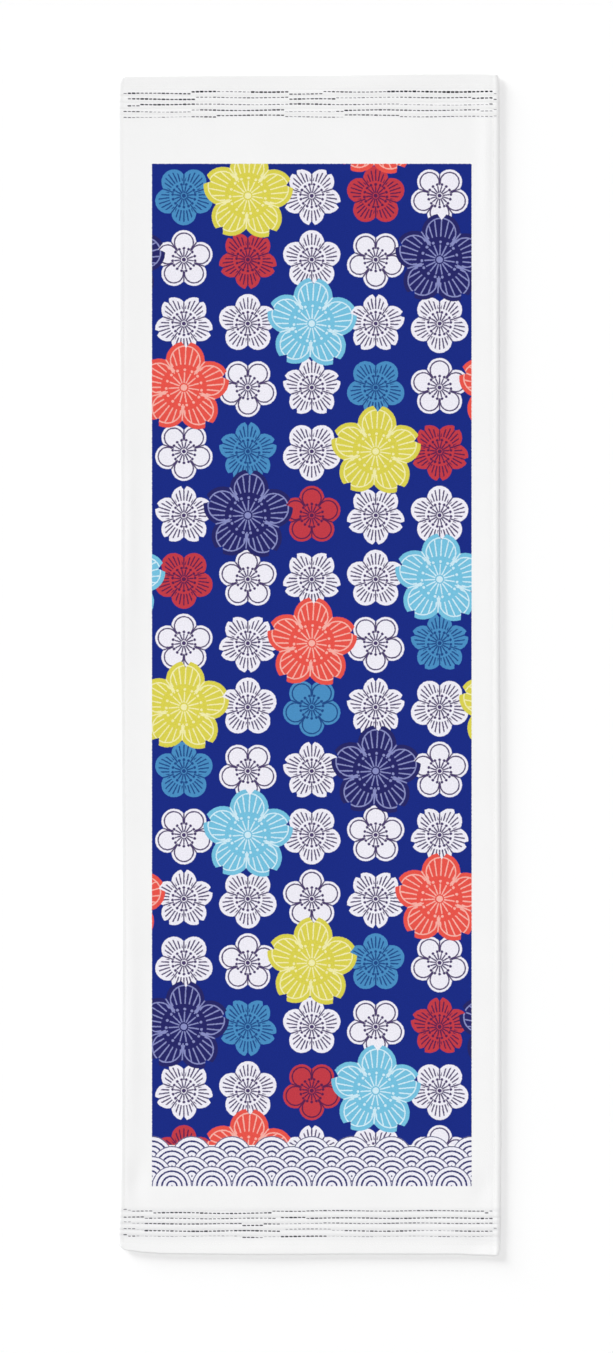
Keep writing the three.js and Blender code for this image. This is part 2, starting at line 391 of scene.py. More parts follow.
panel = {
    "left": -145.7,
    "right": 152.7,
    "top": 468.2,
    "groundEnd": -448.0,
    "footEnd": -486.3,
    "columns": 5,
    "smallRadius": 27.5,
    "largeRadius": 43.0,
    "fillerRadius": 9.5,
    "firstColumn": 1,       # the column of the topmost large blossom
    "largeTurn": 0.2,
    "smallLineHalf": 0.62,  # half the widths of the drawn lines
    "largeLineHalf": 0.6,
    "fillerLineHalf": 0.35,
    "inkBleed": 0.28,       # how softly a printed edge ends in the pile
    "inkWander": 0.4,       # how far it strays, in patches 1.8 mm across, as ink creeps from tuft to tuft
    "wanderScale": 0.55,
    "ground": "#192b84",
    "smallFill": "#eeecf5",
    "smallLine": "#4a3c68",
    "others": [
        # of nine small blossoms, counted from 0, these have colours of their own
        {"which": 4, "fill": "#c23c47", "line": "#5c2450"},
        {"which": 7, "fill": "#4a8ec2", "line": "#234a86"},
    ],
    "largeFills": ["#d9d04f", "#e8544a", "#74c0de", "#272766"],
    "largeLines": ["#f0ebaf", "#f6b3a8", "#cfe9f4", "#8a8fc4"],
    "filler": "#9ccde8",
    "foot": "#efeef6",
    "footLine": "#2a2a6a",
    "footRows": 4,
    "footColumns": 8,
    "footRings": 4,
    "footLineHalf": 0.8,
}
panelWidth = panel["right"] - panel["left"]
cell = panelWidth / panel["columns"]

# how one blossom is drawn, in shares of its radius: a pair says where lines begin and end
blossom = {
    "petalAt": 0.58,
    "petalSize": 0.42,
    "notchAt": 0.86,
    "notchSlope": 1.3,      # how steep its sides are
    "heart": 0.3,
    "gaps": (0.36, 1.0),    # lines between the petals
    "ringSize": 0.32,
    "rings": (0.4, 1.0),
    "veinsToPetal": 7,
    "veins": (0.5, 1.0),
    "veinReach": 0.31,      # from the petal's middle
    "stamensToPetal": 3,
    "stamens": (0.1, 0.33),
    "dotsAt": 0.385,
    "dotSize": 2.1,         # for each half of a line's width
    "eye": 0.07,
}


def blossomGroup():
    tree = bpy.data.node_groups.new("blossomMotif", "ShaderNodeTree")
    face = tree.interface
    face.new_socket("Place", in_out="INPUT", socket_type="NodeSocketVector")
    values = {"Radius": 27, "Petals": 5, "Turn": 0, "Notch": 0, "Veins": 0, "Ring": 0, "Line": 0.5}
    for name, value in values.items():
        face.new_socket(name, in_out="INPUT", socket_type="NodeSocketFloat").default_value = value
    for name in ("Shape", "Lines"):
        face.new_socket(name, in_out="OUTPUT", socket_type="NodeSocketFloat")
    given = addNode(tree, "NodeGroupInput").outputs
    radius, line = given["Radius"], given["Line"]

    def add(kind, links, **settings):
        return addNode(tree, "ShaderNode" + kind, links, **settings)

    def within(distance, limit):
        # 1 where distance is under the limit, fading over the ink's bleed
        over = add("Math", [distance, limit], operation="SUBTRACT")
        return add("MapRange", {"Value": over, "From Min": -panel["inkBleed"], "From Max": panel["inkBleed"],
                                "To Min": 1.0, "To Max": 0.0}, interpolation_type="SMOOTHSTEP")

    def ofRadius(share):
        return add("Math", [radius, share], operation="MULTIPLY")

    parts = add("SeparateXYZ", [given["Place"]])
    bearing = add("Math", [parts.outputs["Y"], parts.outputs["X"]], operation="ARCTAN2")
    angle = add("Math", [bearing, given["Turn"]])
    reach = add("VectorMath", [given["Place"]], operation="LENGTH").outputs["Value"]
    halfPetal = add("Math", [math.pi, given["Petals"]], operation="DIVIDE")

    def folded(halfAngle):
        # the place folded into one sector: along its middle, and off it
        turn = add("Math", [angle, halfAngle], operation="PINGPONG")
        level = add("Math", [reach, add("Math", [turn], operation="COSINE")], operation="MULTIPLY")
        off = add("Math", [reach, add("Math", [turn], operation="SINE")], operation="MULTIPLY")
        return level, off

    def fromSpot(level, off, share):
        # how far a folded place lies from the point at that share of the radius
        centre = add("Math", [level, ofRadius(share)], operation="SUBTRACT")
        return add("VectorMath", [add("CombineXYZ", [centre, off])], operation="LENGTH").outputs["Value"]

    def between(low, high):
        return add("Math", [within(reach, ofRadius(high)), within(reach, ofRadius(low))],
                   operation="SUBTRACT", use_clamp=True)

    # petals: round ones, or with a notch at the tip
    level, off = folded(halfPetal)
    fromPetal = fromSpot(level, off, blossom["petalAt"])
    notchTip = ofRadius(blossom["notchAt"])
    notchLine = add("Math", [off, blossom["notchSlope"], notchTip], operation="MULTIPLY_ADD")
    notchOff = add("Math", [1.0, given["Notch"]], operation="SUBTRACT")
    notched = add("Math", [within(level, notchLine), notchOff], operation="MAXIMUM")
    petals = add("Math", [within(fromPetal, ofRadius(blossom["petalSize"])), notched], operation="MULTIPLY")
    shape = add("Math", [petals, within(reach, ofRadius(blossom["heart"]))], operation="MAXIMUM")

    # the line between two petals
    turn = add("Math", [angle, halfPetal], operation="PINGPONG")
    toGap = add("Math", [halfPetal, turn], operation="SUBTRACT")
    fromGap = add("Math", [reach, add("Math", [toGap], operation="SINE")], operation="MULTIPLY")
    gaps = add("Math", [within(fromGap, line), between(*blossom["gaps"])], operation="MULTIPLY")

    # a ring inside each petal
    ringEdge = add("Math", [radius, -blossom["ringSize"], fromPetal], operation="MULTIPLY_ADD")
    ring = within(add("Math", [ringEdge], operation="ABSOLUTE"), line)
    ring = add("Math", [ring, given["Ring"]], operation="MULTIPLY")
    ring = add("Math", [ring, between(*blossom["rings"])], operation="MULTIPLY")

    # veins that fan out in each petal
    veinOff = folded(add("Math", [halfPetal, blossom["veinsToPetal"]], operation="DIVIDE"))[1]
    inPetal = within(fromPetal, ofRadius(blossom["veinReach"]))
    veins = add("Math", [within(veinOff, line), inPetal], operation="MULTIPLY")
    veins = add("Math", [veins, between(*blossom["veins"])], operation="MULTIPLY")
    veins = add("Math", [veins, given["Veins"]], operation="MULTIPLY")

    # stamens, each with a dot, and the eye
    stamenLevel, stamenOff = folded(add("Math", [halfPetal, blossom["stamensToPetal"]], operation="DIVIDE"))
    stamens = add("Math", [within(stamenOff, line), between(*blossom["stamens"])], operation="MULTIPLY")
    dotSize = add("Math", [line, blossom["dotSize"]], operation="MULTIPLY")
    dots = within(fromSpot(stamenLevel, stamenOff, blossom["dotsAt"]), dotSize)
    eye = within(reach, ofRadius(blossom["eye"]))

    lines = gaps
    for more in (ring, veins, stamens, dots, eye):
        lines = add("Math", [lines, more], operation="MAXIMUM")
    end = addNode(tree, "NodeGroupOutput")
    tree.links.new(shape.outputs[0], end.inputs["Shape"])
    tree.links.new(add("Math", [lines, shape], operation="MULTIPLY").outputs[0], end.inputs["Lines"])
    return tree


def printedCottonMaterial():
    # Cotton pile cloth, woven white, sheared on its face and printed there with reactive ink. That gives the
    # eye a matt surface with a soft bloom at low angles, colours that stop a hair's breadth unevenly in the
    # pile, and looped white terry underneath.
    material, shader = newMaterial("printedTerryCotton", cottonCloth["finish"])
    tree = material.node_tree

    def add(kind, links=(), **settings):
        return addNode(tree, "ShaderNode" + kind, links, **settings)

    def within(distance, limit, bleed=panel["inkBleed"]):
        return add("MapRange", {"Value": distance, "From Min": limit - bleed, "From Max": limit + bleed,
                                "To Min": 1.0, "To Max": 0.0}, interpolation_type="SMOOTHSTEP")

    def painted(under, over, mask):
        # a mix node's share is its input 0, and its colours are 6 and 7, where numbers would be 2 and 3
        return add("Mix", {0: mask, 6: under, 7: over}, data_type="RGBA").outputs[2]

    plan = add("UVMap", uv_map="clothPlan")
    planAcross = add("SeparateXYZ", [plan]).outputs["X"]
    isUnder = add("Math", [planAcross, underside["planShift"] / 2], operation="GREATER_THAN")
    shift = add("Math", [isUnder, underside["planShift"]], operation="MULTIPLY")
    faceOrUnder = add("VectorMath", [plan, add("CombineXYZ", [shift])], operation="SUBTRACT")
    place = add("VectorMath", {0: faceOrUnder, "Scale": 1 / mm}, operation="SCALE")
    grain = add("TexNoise", {"Vector": place, "Scale": panel["wanderScale"], "Detail": 2.0},
                noise_dimensions="2D")
    stray = add("VectorMath", [grain.outputs["Color"], (0.5, 0.5, 0.5)], operation="SUBTRACT")
    wander = add("VectorMath", {0: stray, "Scale": panel["inkWander"] * 2}, operation="SCALE")
    inked = add("VectorMath", [place, wander])

    def inSquares(point, size):
        # the place seen from the middle of its square, and the square's column and row
        corner = add("VectorMath", [add("VectorMath", [point, [size / 2] * 3]), [size] * 3], operation="SNAP")
        number = add("VectorMath", {0: corner, "Scale": 1 / size}, operation="SCALE")
        return add("VectorMath", [point, corner], operation="SUBTRACT"), add("SeparateXYZ", [number])

    # square grid of small blossoms, counted from the topmost large one
    first = (panel["left"] + (panel["firstColumn"] + 0.5) * cell, panel["top"] - 0.5 * cell, 0)
    fromFirst = add("VectorMath", [inked, first], operation="SUBTRACT")
    smallPlace, smallCount = inSquares(fromFirst, cell)
    motif = blossomGroup()
    tolerance = 0.1         # whole numbers are compared with this much play

    def counted(acrossTimes, alongTimes, cycle):
        # a whole number from 0 to cycle - 1 that steps from square to square
        steps = add("Math", [smallCount.outputs["X"], acrossTimes, 0.5], operation="MULTIPLY_ADD")
        steps = add("Math", [smallCount.outputs["Y"], alongTimes, steps], operation="MULTIPLY_ADD")
        return add("Math", [add("Math", [steps, cycle], operation="FLOORED_MODULO")], operation="FLOOR")

    # three kinds by turns, and every other blossom upside down
    kind = counted(1, 2, 3)
    tilt = add("Math", [counted(1, 1, 2), math.pi / 5, -math.pi / 2], operation="MULTIPLY_ADD")
    small = add("Group", {
        "Place": smallPlace, "Radius": panel["smallRadius"], "Turn": tilt, "Line": panel["smallLineHalf"],
        "Notch": add("Math", [kind, 1, tolerance], operation="COMPARE"),
        "Ring": add("Math", [kind, 0, tolerance], operation="COMPARE"),
        "Veins": add("Math", [kind, 0.5], operation="GREATER_THAN")}, node_tree=motif)

    # small four-petalled flowers in the corners between them
    cornerPlace = inSquares(add("VectorMath", [fromFirst, [cell / 2] * 3], operation="SUBTRACT"), cell)[0]
    filler = add("Group", {
        "Place": cornerPlace, "Radius": panel["fillerRadius"], "Turn": math.pi / 4,
        "Line": panel["fillerLineHalf"], "Petals": 4}, node_tree=motif)

    # large blossoms a knight's move apart, on a square grid of their own that is turned and wider
    turned = add("VectorRotate", {"Vector": fromFirst, "Angle": -math.atan2(1, 2)}, rotation_type="Z_AXIS")
    largePlace, largeCount = inSquares(turned, cell * math.sqrt(5))
    large = add("Group", {
        "Place": largePlace, "Radius": panel["largeRadius"], "Turn": panel["largeTurn"],
        "Line": panel["largeLineHalf"], "Notch": 1, "Ring": 1, "Veins": 1}, node_tree=motif)
    colours = len(panel["largeFills"])
    stepped = add("Math", [largeCount.outputs["Y"], 2.0, largeCount.outputs["X"]], operation="MULTIPLY_ADD")
    inTurn = add("Math", [add("Math", [stepped, 0.5]), colours], operation="FLOORED_MODULO")
    chosen = add("Math", [inTurn, colours], operation="DIVIDE")

    def pickedFrom(hexTexts):
        ramp = add("ValToRGB", [chosen])
        ramp.color_ramp.interpolation = "CONSTANT"
        stops = ramp.color_ramp.elements
        stops[0].color, stops[0].position = linear(hexTexts[0]), 0
        stops[1].color, stops[1].position = linear(hexTexts[1]), 1 / colours
        for index in range(2, colours):
            stops.new(index / colours).color = linear(hexTexts[index])
        return ramp.outputs["Color"]

    # layers of ink, from the ground up
    colour = painted(linear(panel["ground"]), linear(panel["filler"]), filler.outputs["Shape"])
    colour = painted(colour, linear(panel["ground"]), filler.outputs["Lines"])
    smallFill, smallLine = linear(panel["smallFill"]), linear(panel["smallLine"])
    ninth = counted(2, 5, 9)
    for other in panel["others"]:
        isOther = add("Math", [ninth, other["which"], tolerance], operation="COMPARE")
        smallFill = painted(smallFill, linear(other["fill"]), isOther)
        smallLine = painted(smallLine, linear(other["line"]), isOther)
    colour = painted(colour, smallFill, small.outputs["Shape"])
    colour = painted(colour, smallLine, small.outputs["Lines"])
    colour = painted(colour, pickedFrom(panel["largeFills"]), large.outputs["Shape"])
    colour = painted(colour, pickedFrom(panel["largeLines"]), large.outputs["Lines"])

    # the panel's edges, and white below its ground
    edge = add("SeparateXYZ", [inked])
    acrossPlace, alongPlace = edge.outputs["X"], edge.outputs["Y"]
    white = linear(cottonCloth["white"])
    middle = (panel["left"] + panel["right"]) / 2
    fromMiddle = add("Math", [acrossPlace, middle], operation="SUBTRACT")
    inWidth = within(add("Math", [fromMiddle], operation="ABSOLUTE"), panelWidth / 2)
    belowGround = add("Math", [panel["groundEnd"], alongPlace], operation="SUBTRACT")
    colour = painted(white, colour, within(belowGround, 0))

    # rows of wave scallops, each in front of the one above it
    waveRadius = panelWidth / panel["footColumns"] / 2
    for row in reversed(range(panel["footRows"])):
        level = panel["footEnd"] + row * waveRadius / 2
        shifted = add("Math", [acrossPlace, panel["left"] + (row % 2) * waveRadius], operation="SUBTRACT")
        sideways = add("Math", [shifted, waveRadius], operation="PINGPONG")
        sideways = add("Math", [waveRadius, sideways], operation="SUBTRACT")
        upwards = add("Math", [alongPlace, level], operation="SUBTRACT")
        fromFoot = add("CombineXYZ", [sideways, upwards])
        reach = add("VectorMath", [fromFoot], operation="LENGTH").outputs["Value"]
        scallop = within(reach, waveRadius)
        fromRing = add("Math", [reach, waveRadius / panel["footRings"] / 2], operation="PINGPONG")
        inRing = add("Math", [scallop, within(fromRing, panel["footLineHalf"])], operation="MULTIPLY")
        colour = painted(colour, linear(panel["foot"]), scallop)
        colour = painted(colour, linear(panel["footLine"]), inRing)
    belowFoot = add("Math", [panel["footEnd"], alongPlace], operation="SUBTRACT")
    abovePanel = add("Math", [alongPlace, panel["top"]], operation="SUBTRACT")
    inLength = add("Math", [within(belowFoot, 0), within(abovePanel, 0)], operation="MULTIPLY")
    inPanel = add("Math", [inLength, inWidth], operation="MULTIPLY")

    # the underside has white terry, with the ink showing through a little
    printDepth = add("MapRange", {"Value": isUnder, "To Min": 1.0, "To Max": cottonCloth["printThrough"]})
    printShare = add("Math", [inPanel, printDepth], operation="MULTIPLY")

    # the headings' grey yarn runs on under the white threads and greys them, most along its own rows, where
    # the grooves lie, so this grey is partly painted shade; underneath, where it floats, it shows as dashes
    parts = add("SeparateXYZ", [place])
    across, along = parts.outputs["X"], parts.outputs["Y"]
    halfPitch = heading["floatPitch"] / 2
    fromDash = add("Math", [across, halfPitch], operation="PINGPONG")
    dash = within(fromDash, halfPitch * headingGreyAndShade["dashLength"], headingGreyAndShade["dashFade"])
    middleRow = heading["pitch"] * (heading["grooves"] - 1) / 2
    yarnGreyAndShade = 0.0
    for end in headingGreyAndShade["ends"]:
        fromOuter = add("Math", [along, end["direction"], end["firstRow"]], operation="MULTIPLY_ADD")
        fromMiddle = add("Math", [fromOuter, middleRow], operation="SUBTRACT")
        inHeading = within(add("Math", [fromMiddle], operation="ABSOLUTE"), middleRow + headingGreyAndShade["reach"],
                           headingGreyAndShade["fade"])
        fromRow = add("Math", [fromOuter, heading["pitch"] / 2], operation="PINGPONG")
        inRow = within(fromRow, headingGreyAndShade["rowHalf"], headingGreyAndShade["rowFade"])
        inDash = add("Math", [inRow, dash], operation="MULTIPLY")
        faceShare = add("Math", [inRow, end["row"], end["ground"]], operation="MULTIPLY_ADD")
        underShare = add("Math", [inDash, headingGreyAndShade["floats"], end["ground"]], operation="MULTIPLY_ADD")
        share = add("Mix", {0: isUnder, 2: faceShare, 3: underShare}, data_type="FLOAT").outputs[0]
        yarnGreyAndShade = add("Math", [share, inHeading, yarnGreyAndShade], operation="MULTIPLY_ADD")

    # uneven cotton: ink sits a little thinner on some tufts, and the white is never quite one white
    tufts = add("TexNoise", {"Vector": place, "Scale": cottonCloth["tufts"], "Detail": 3.0},
                noise_dimensions="2D")
    clouds = add("TexNoise", {"Vector": place, "Scale": cottonCloth["clouds"], "Detail": 2.0},
                 noise_dimensions="2D")
    depth = add("MapRange", {"Value": tufts, **noiseSpan, "To Min": 1 - cottonCloth["tuftShade"],
                             "To Max": 1 + cottonCloth["tuftShade"]})
    shade = add("MapRange", {"Value": clouds, **noiseSpan, "To Min": 1 - cottonCloth["cloudShade"],
                             "To Max": 1.0})
    colour = add("VectorMath", {0: colour, "Scale": depth}, operation="SCALE")
    # white greyed over the headings: partly yarn showing through, partly painted shade
    cotton = painted(white, linear(headingGreyAndShade["colour"]), yarnGreyAndShade)
    colour = painted(cotton, colour, printShare)
    colour = add("VectorMath", {0: colour, "Scale": shade}, operation="SCALE")

    # pile: sheared and close on the face, open loops underneath
    sheared = add("TexNoise", {"Vector": place, "Scale": cottonCloth["sheared"], "Detail": 4.0,
                               "Roughness": 0.6}, noise_dimensions="2D")
    loops = add("TexVoronoi", {"Vector": place, "Scale": cottonCloth["loops"],
                               "Smoothness": cottonCloth["loopSoftness"]},
                voronoi_dimensions="2D", feature="SMOOTH_F1")
    pile = add("Mix", {0: isUnder, 2: sheared, 3: loops.outputs["Distance"]}, data_type="FLOAT").outputs[0]
    bump = add("Bump", {"Height": pile, "Strength": cottonCloth["pileStrength"],
                        "Distance": cottonCloth["pileHeight"] * mm})
    tree.links.new(colour.outputs[0], shader.inputs["Base Color"])
    tree.links.new(bump.outputs[0], shader.inputs["Normal"])
    return material


print("towel: print and pile")
cloth.data.materials.append(printedCottonMaterial())


# Loose coloured threads that float over the headings, and the hems' stitches: small soft beads of yarn,
# repeated. Ink is how much of the yarn shows: it makes a bead longer, wider and darker.

cottonYarn = {
    "segments": 8,
    "rings": 5,
    "plies": 600.0,        # the wave scale that shows one ply for each millimetre of yarn
    "plyWander": 2.0,
    "plyHeight": 0.1,
    "plyStrength": 0.4,
    "finish": {"Roughness": 0.85, "Specular IOR Level": 0.1},
}
headingYarn = {
    "length": 4.15,
    "shortest": 0.77,      # share of the length where a row has no ink
    "thinnest": 0.45,      # width there, and what full ink adds
    "swelling": 1.47,
    "height": 0.4,
    "lengthJitter": 0.2,   # shares by which one float differs from the next
    "widthJitter": 0.12,
    "beadSeed": 4,
    "uneven": 0.16,        # how much darker or paler one float is than the next
    "sway": 0.3,           # how far a row wanders, and how fast
    "swayLength": 14,
    "seed": 5,
    "sink": 0.05,          # how deep a float's middle lies in the cloth
    "colour": "#24232a",
    "faded": "#74737c",
}
# the ten rows of both headings, from the panel's clean end to the other: runs of yarn from left to right,
# each with its two ends, its place along the towel, and its ink, below 0 where the yarn nearly sinks in
headingRows = [
    [(-172, -168, 533.8, 0.1), (-168, -158, 533.8, 0.7), (-158, -110, 533.8, 0.5), (-110, -85, 535.3, 0.9),
     (-85, -54, 535.3, 0.15), (-54, -17, 535.3, 0.85), (-17, 13, 533.5, 0.43), (13, 39, 535.4, 0.55),
     (39, 75, 535.4, 0.3), (75, 173, 535.4, 0.85), (173, 176, 533.7, 0.1)],
    [(-169, -105, 528.5, 0.65), (-105, -17, 530, 0.35), (-17, 25, 528.6, 0.6), (25, 86, 530, 0.15),
     (86, 151, 530, 0.5), (151, 173, 529.3, 0.67), (173, 176, 528.2, 0.3)],
    [(-169, -157, 522, 0.4), (-157, -105, 523.6, 0.7), (-105, -54, 523.6, 0.3), (-54, -17, 523.6, 0.2),
     (-17, 21, 523.7, 0.68), (21, 86, 523.7, 0.3), (86, 170, 523.2, 0), (170, 173, 523.6, 0.35)],
    [(-172, -157, 516.7, 0.44), (-157, -110, 516.7, 0.1), (-110, -101, 518.1, 0.1),
     (-101, -68, 518.2, 0.6), (-68, -59, 518.2, 0.4), (-59, -21, 518.2, 0.6), (-21, 25, 516.7, 0),
     (25, 35, 517.4, 0.5), (35, 95, 518.2, 0.55), (95, 161, 518.2, 0.4), (161, 173, 517.2, 0),
     (173, 176, 518.9, 0.1)],
    [(-172, -162, 511.4, 0.3), (-162, -110, 511.8, 0), (-110, -87, 511.8, 0.45), (-87, -21, 513.4, 0.6),
     (-21, 25, 512, 0.2), (25, 35, 512, 0), (35, 86, 513.6, 0.5), (86, 151, 512.3, 0.25),
     (151, 173, 512.3, 0.1), (173, 176, 513, 0.2)],
    [(-172, -168, -508.2, 0.3), (-168, -165, -508.9, 0), (-165, -143, -509.7, 0.33),
     (-143, -101, -511.3, 0.55), (-101, -35, -511.5, 0.5), (-35, -1, -509.5, 0.36), (0, 165, -509.3, 0.31),
     (165, 169, -511.2, 0.5), (169, 173, -509.3, 0.05)],
    [(-172, -152, -515.3, 0.48), (-152, -31, -516.5, 0.33), (-26, -1, -515.3, 0.6),
     (0, 173, -516.2, 0.58)],
    [(-172, -165, -519.8, 0), (-165, -152, -521.2, 0), (-152, -91, -521.4, 0.55), (-91, -63, -521.4, 0.4),
     (-63, -43, -523.2, 0.55), (-43, -26, -521.4, 0.55), (-26, 13, -521.2, 0), (13, 173, -520.9, 0.25)],
    [(-172, -162, -526.2, 0.2), (-162, -152, -527.4, -0.1), (-152, -24, -528.2, 0.6),
     (-21, 21, -526.5, 0.12), (21, 35, -527.9, 0), (35, 81, -528.1, 0.5), (81, 103, -528.1, 0.5),
     (103, 125, -528.1, 0), (125, 136, -528.1, 0), (136, 152, -528.1, 0.5), (152, 173, -528.1, 0.33),
     (173, 176, -525.8, 0)],
    [(-172, -168, -531.6, 0.25), (-168, -162, -533.3, 0.45), (-162, -63, -533, -0.1),
     (-63, -43, -534.4, 0.3), (-43, -26, -533.2, -0.1), (-24, 16, -533.2, 0.75), (16, 121, -533.2, -0.1),
     (121, 133, -533.2, 0.3), (133, 173, -533.2, -0.1)],
]
hemStitch = {
    "pitch": 3.2,
    "sideInset": 5.2,
    "endInset": 9.4,
    "length": 2.5,
    "shortest": 1,         # stitches have no ink, so these three give them all one size
    "thinnest": 0.5,
    "swelling": 0,
    "height": 0.4,
    "lengthJitter": 0.15,
    "widthJitter": 0.1,
    "beadSeed": 9,
    "sink": 0.12,
    "colour": "#f2f2f0",
    "faded": "#f2f2f0",
}


def beadTree():
    # one bead of yarn on every point, turned and swollen as the point says
    tree = bpy.data.node_groups.new("yarnBeads", "GeometryNodeTree")
    face = tree.interface
    face.new_socket("Geometry", in_out="INPUT", socket_type="NodeSocketGeometry")
    for name in ("Length", "Shortest", "Thinnest", "Swelling", "Height", "Length Jitter", "Width Jitter"):
        face.new_socket(name, in_out="INPUT", socket_type="NodeSocketFloat")
    face.new_socket("Seed", in_out="INPUT", socket_type="NodeSocketInt")
    face.new_socket("Yarn", in_out="INPUT", socket_type="NodeSocketMaterial")
    face.new_socket("Geometry", in_out="OUTPUT", socket_type="NodeSocketGeometry")
    given = addNode(tree, "NodeGroupInput").outputs

    def add(kind, links, **settings):
        return addNode(tree, kind, links, **settings)

    ink = add("GeometryNodeInputNamedAttribute", {"Name": "ink"}, data_type="FLOAT")
    turn = add("GeometryNodeInputNamedAttribute", {"Name": "turn"}, data_type="FLOAT")
    low = add("ShaderNodeMath", [1.0, given["Length Jitter"]], operation="SUBTRACT")
    jitter = add("FunctionNodeRandomValue", {2: low, 3: 1.0, "Seed": given["Seed"]}, data_type="FLOAT")
    growing = add("ShaderNodeMath", [1.0, given["Shortest"]], operation="SUBTRACT")
    grown = add("ShaderNodeMath", [ink, growing, given["Shortest"]], operation="MULTIPLY_ADD")
    length = add("ShaderNodeMath", [given["Length"], jitter.outputs[1]], operation="MULTIPLY")
    length = add("ShaderNodeMath", [length, grown], operation="MULTIPLY")
    width = add("ShaderNodeMath", [ink, given["Swelling"], given["Thinnest"]], operation="MULTIPLY_ADD")
    lean = add("ShaderNodeMath", [1.0, given["Width Jitter"]], operation="SUBTRACT")
    fat = add("ShaderNodeMath", [1.0, given["Width Jitter"]], operation="ADD")
    widthJitter = add("FunctionNodeRandomValue", {2: lean, 3: fat, "Seed": given["Seed"]}, data_type="FLOAT")
    width = add("ShaderNodeMath", [width, widthJitter.outputs[1]], operation="MULTIPLY")
    size = add("ShaderNodeCombineXYZ", [length, width, given["Height"]])
    # a ball squared off to blunt ends, as a float of soft yarn between two crossings: the fourth powers of
    # a point's place add up to the fourth power of the ball's radius
    radius = 0.5
    ball = add("GeometryNodeMeshUVSphere", {
        "Segments": cottonYarn["segments"], "Rings": cottonYarn["rings"], "Radius": radius})
    place = add("GeometryNodeInputPosition", [])
    squares = add("ShaderNodeVectorMath", [place, place], operation="MULTIPLY")
    fourths = add("ShaderNodeVectorMath", [squares, squares], operation="DOT_PRODUCT").outputs["Value"]
    reach = add("ShaderNodeMath", [fourths, 1 / 4], operation="POWER")
    grow = add("ShaderNodeMath", [radius, reach], operation="DIVIDE")
    blunt = add("ShaderNodeVectorMath", {0: place, "Scale": grow}, operation="SCALE")
    bead = add("GeometryNodeSetPosition", {"Geometry": ball.outputs["Mesh"], "Position": blunt})
    placed = add("GeometryNodeInstanceOnPoints", {
        "Points": given["Geometry"], "Instance": bead, "Scale": size,
        "Rotation": add("ShaderNodeCombineXYZ", [0.0, 0.0, turn])})
    real = add("GeometryNodeRealizeInstances", [placed])
    soft = add("GeometryNodeSetShadeSmooth", [real])
    dressed = add("GeometryNodeSetMaterial", {"Geometry": soft, "Material": given["Yarn"]})
    add("NodeGroupOutput", [dressed])
    return tree


def yarnBeads(name, spots, thread, material):
    # spots are dictionaries of x, y, across, along, turn and ink; the beads lie on the cloth's face
    keys = ("x", "y", "across", "along", "turn", "ink")
    x, y, across, along, turn, ink = (np.array([spot[key] for spot in spots], float) for key in keys)
    points = (np.stack([x, y, topHeight(across, along) - thread["sink"]], -1) - planShift) * mm
    mesh = bpy.data.meshes.new(name + "Spots")
    mesh.from_pydata(points.tolist(), [], [])
    mesh.attributes.new("ink", "FLOAT", "POINT").data.foreach_set("value", ink)
    mesh.attributes.new("turn", "FLOAT", "POINT").data.foreach_set("value", turn)
    source = bpy.data.objects.new(name + "Spots", mesh)
    scene.collection.objects.link(source)
    modifier = source.modifiers.new("beads", "NODES")
    modifier.node_group = beads
    sizes = {
        "Length": thread["length"] * mm,
        "Shortest": thread["shortest"],
        "Thinnest": thread["thinnest"] * mm,
        "Swelling": thread["swelling"] * mm,
        "Height": thread["height"] * mm,
        "Length Jitter": thread["lengthJitter"],
        "Width Jitter": thread["widthJitter"],
        "Seed": thread["beadSeed"],
        "Yarn": material,
    }
    for item in beads.interface.items_tree:
        if item.in_out == "INPUT" and item.name in sizes:
            modifier[item.identifier] = sizes[item.name]
    evaluated = source.evaluated_get(bpy.context.evaluated_depsgraph_get())
    made = bpy.data.objects.new(name, bpy.data.meshes.new_from_object(evaluated))
    made.data.materials.clear()
    made.data.materials.append(material)
    made.data.polygons.foreach_set("material_index", np.zeros(len(made.data.polygons), np.int32))
    bpy.data.objects.remove(source)
    scene.collection.objects.link(made)
    return made


def yarnMaterial(name, thread):
    # twisted cotton yarn: matt, and paler where little of it shows between the white threads
    material, shader = newMaterial(name, cottonYarn["finish"])
    tree = material.node_tree
    ink = addNode(tree, "ShaderNodeAttribute", attribute_name="ink")
    plies = addNode(tree, "ShaderNodeTexWave", {
        "Vector": addNode(tree, "ShaderNodeTexCoord").outputs["Object"], "Scale": cottonYarn["plies"],
        "Distortion": cottonYarn["plyWander"]}, bands_direction="DIAGONAL")
    mix = addNode(tree, "ShaderNodeMix", {
        0: ink.outputs["Fac"], 6: linear(thread["faded"]), 7: linear(thread["colour"])}, data_type="RGBA")
    twist = addNode(tree, "ShaderNodeBump", {
        "Height": plies.outputs["Fac"], "Strength": cottonYarn["plyStrength"],
        "Distance": cottonYarn["plyHeight"] * mm})
    tree.links.new(mix.outputs[2], shader.inputs["Base Color"])
    tree.links.new(twist.outputs[0], shader.inputs["Normal"])
    return material


def headingSpots():
    spots = []
    draws = np.random.default_rng(headingYarn["seed"])
    pitch, sway = heading["floatPitch"], headingYarn["sway"]
    for row in headingRows:
        for left, right, place, ink in row:
            for step in range(math.ceil(left / pitch), math.floor(right / pitch) + 1):
                across = step * pitch
                along = place + sway * math.sin(across / headingYarn["swayLength"] + place)
                unevenInk = ink + headingYarn["uneven"] * draws.uniform(-1, 1)
                spots.append({"x": across, "y": along, "across": across, "along": along, "turn": 0,
                              "ink": unevenInk})
    return spots


def stitchSpots():
    spots = []
    halfWidth = towel["width"] / 2 - hemStitch["sideInset"]
    halfLength = towel["length"] / 2 - hemStitch["endInset"]
    for reach, fixed, turn in ((halfLength, halfWidth, math.pi / 2), (halfWidth, halfLength, 0)):
        steps = round(2 * reach / hemStitch["pitch"])
        for place in np.linspace(-reach, reach, steps + 1):
            for sign in (-1, 1):
                across, along = (sign * fixed, place) if turn else (place, sign * fixed)
                x, y = planPoint(across, along)
                spots.append({"x": x, "y": y, "across": across, "along": along, "turn": turn, "ink": 0})
    return spots


